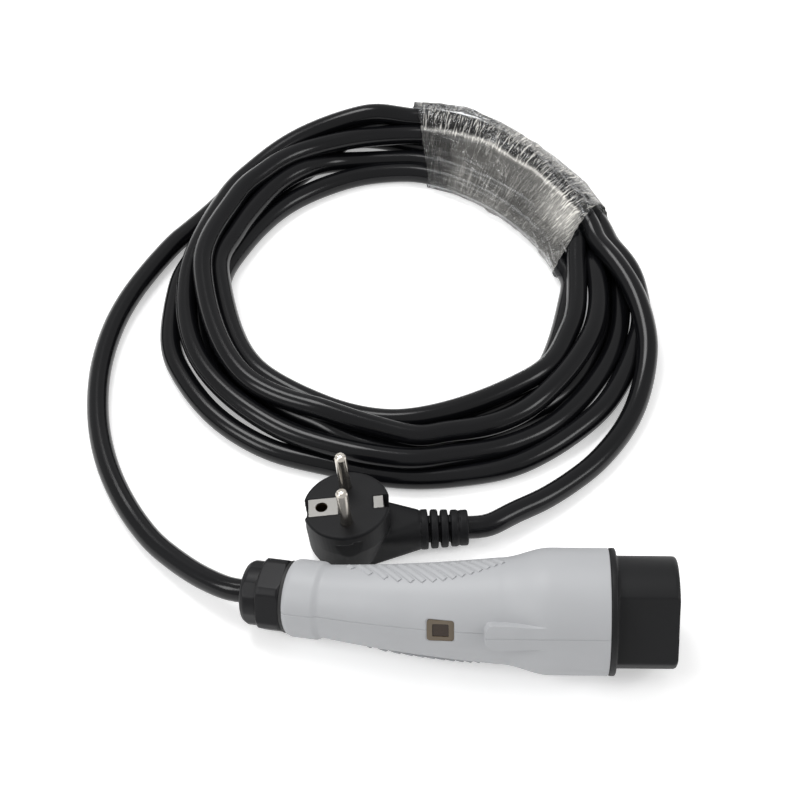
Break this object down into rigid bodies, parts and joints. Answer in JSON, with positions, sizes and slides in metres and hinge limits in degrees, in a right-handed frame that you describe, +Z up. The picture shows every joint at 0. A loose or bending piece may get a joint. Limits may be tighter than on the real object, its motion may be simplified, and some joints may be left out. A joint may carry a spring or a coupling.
{
  "type": "vehicle charging connector",
  "caption": "Grey-handled charging connector with a black D-shaped nose, on a coiled black cable tied with film and ending in an earthed mains plug.",
  "frame": {"origin": "centre of the bottom of the connector's box, where it lies on the table", "axes": "+X along the nose, towards its tip and 1.4 degrees up; +Z up; the nose's flat faces -Y, 30 degrees above level"},
  "size_m": [0.25, 0.3317, 0.05],
  "materials": {
    "grey_shell": "fine-textured moulded light grey",
    "black_nose": "satin moulded black",
    "black_insert": "satin moulded black",
    "dark_insert": "moulded dark grey",
    "screw_steel": "zinc-plated",
    "seal_rubber": "black rubber",
    "contact_brass": "turned, silver-flashed",
    "bezel": "translucent smoked",
    "lens": "dark brown, clear",
    "board": "laminate",
    "led": "milky",
    "wire_brown": "brown insulation",
    "wire_blue": "blue insulation",
    "wire_green": "green and yellow insulation",
    "gland_black": "satin moulded black",
    "cable_jacket": "smooth glossy black jacket",
    "plug_black": "satin moulded black",
    "pin_nickel": "nickel-plated brass",
    "film": "clear wrinkled stretch film"
  },
  "bodies": {
    "root": {"handle_left": "grey_shell", "handle_right": "grey_shell", "nose_shell": "black_nose", "contact_block": "black_insert", "contact_retainer": "dark_insert", "retainer_screws": "screw_steel", "nose_seal": "seal_rubber", "contact_line": "contact_brass", "contact_neutral": "contact_brass", "contact_earth": "contact_brass", "contact_pilot": "contact_brass", "contact_proximity": "contact_brass", "window_bezel": "bezel", "window_lens": "lens", "indicator_board": "board", "indicator_led": "led", "wire_line": "wire_brown", "wire_neutral": "wire_blue", "wire_earth": "wire_green", "cord_clamp": "dark_insert", "clamp_screws": "screw_steel", "shell_screws": "screw_steel", "gland_body": "gland_black", "gland_ring": "seal_rubber", "gland_locknut": "dark_insert", "gland_claw": "dark_insert", "gland_seal": "seal_rubber", "gland_nut": "gland_black", "cable_end": "cable_jacket", "plug_body": "plug_black", "plug_carrier": "dark_insert", "plug_pin_rear": "pin_nickel", "plug_pin_front": "pin_nickel", "plug_earth_strip": "pin_nickel", "plug_earth_socket": "contact_brass", "lead_to_handle": "cable_jacket", "cable_coil": "cable_jacket", "lead_to_plug": "cable_jacket", "coil_film": "film"}
  },
  "joints": []
}
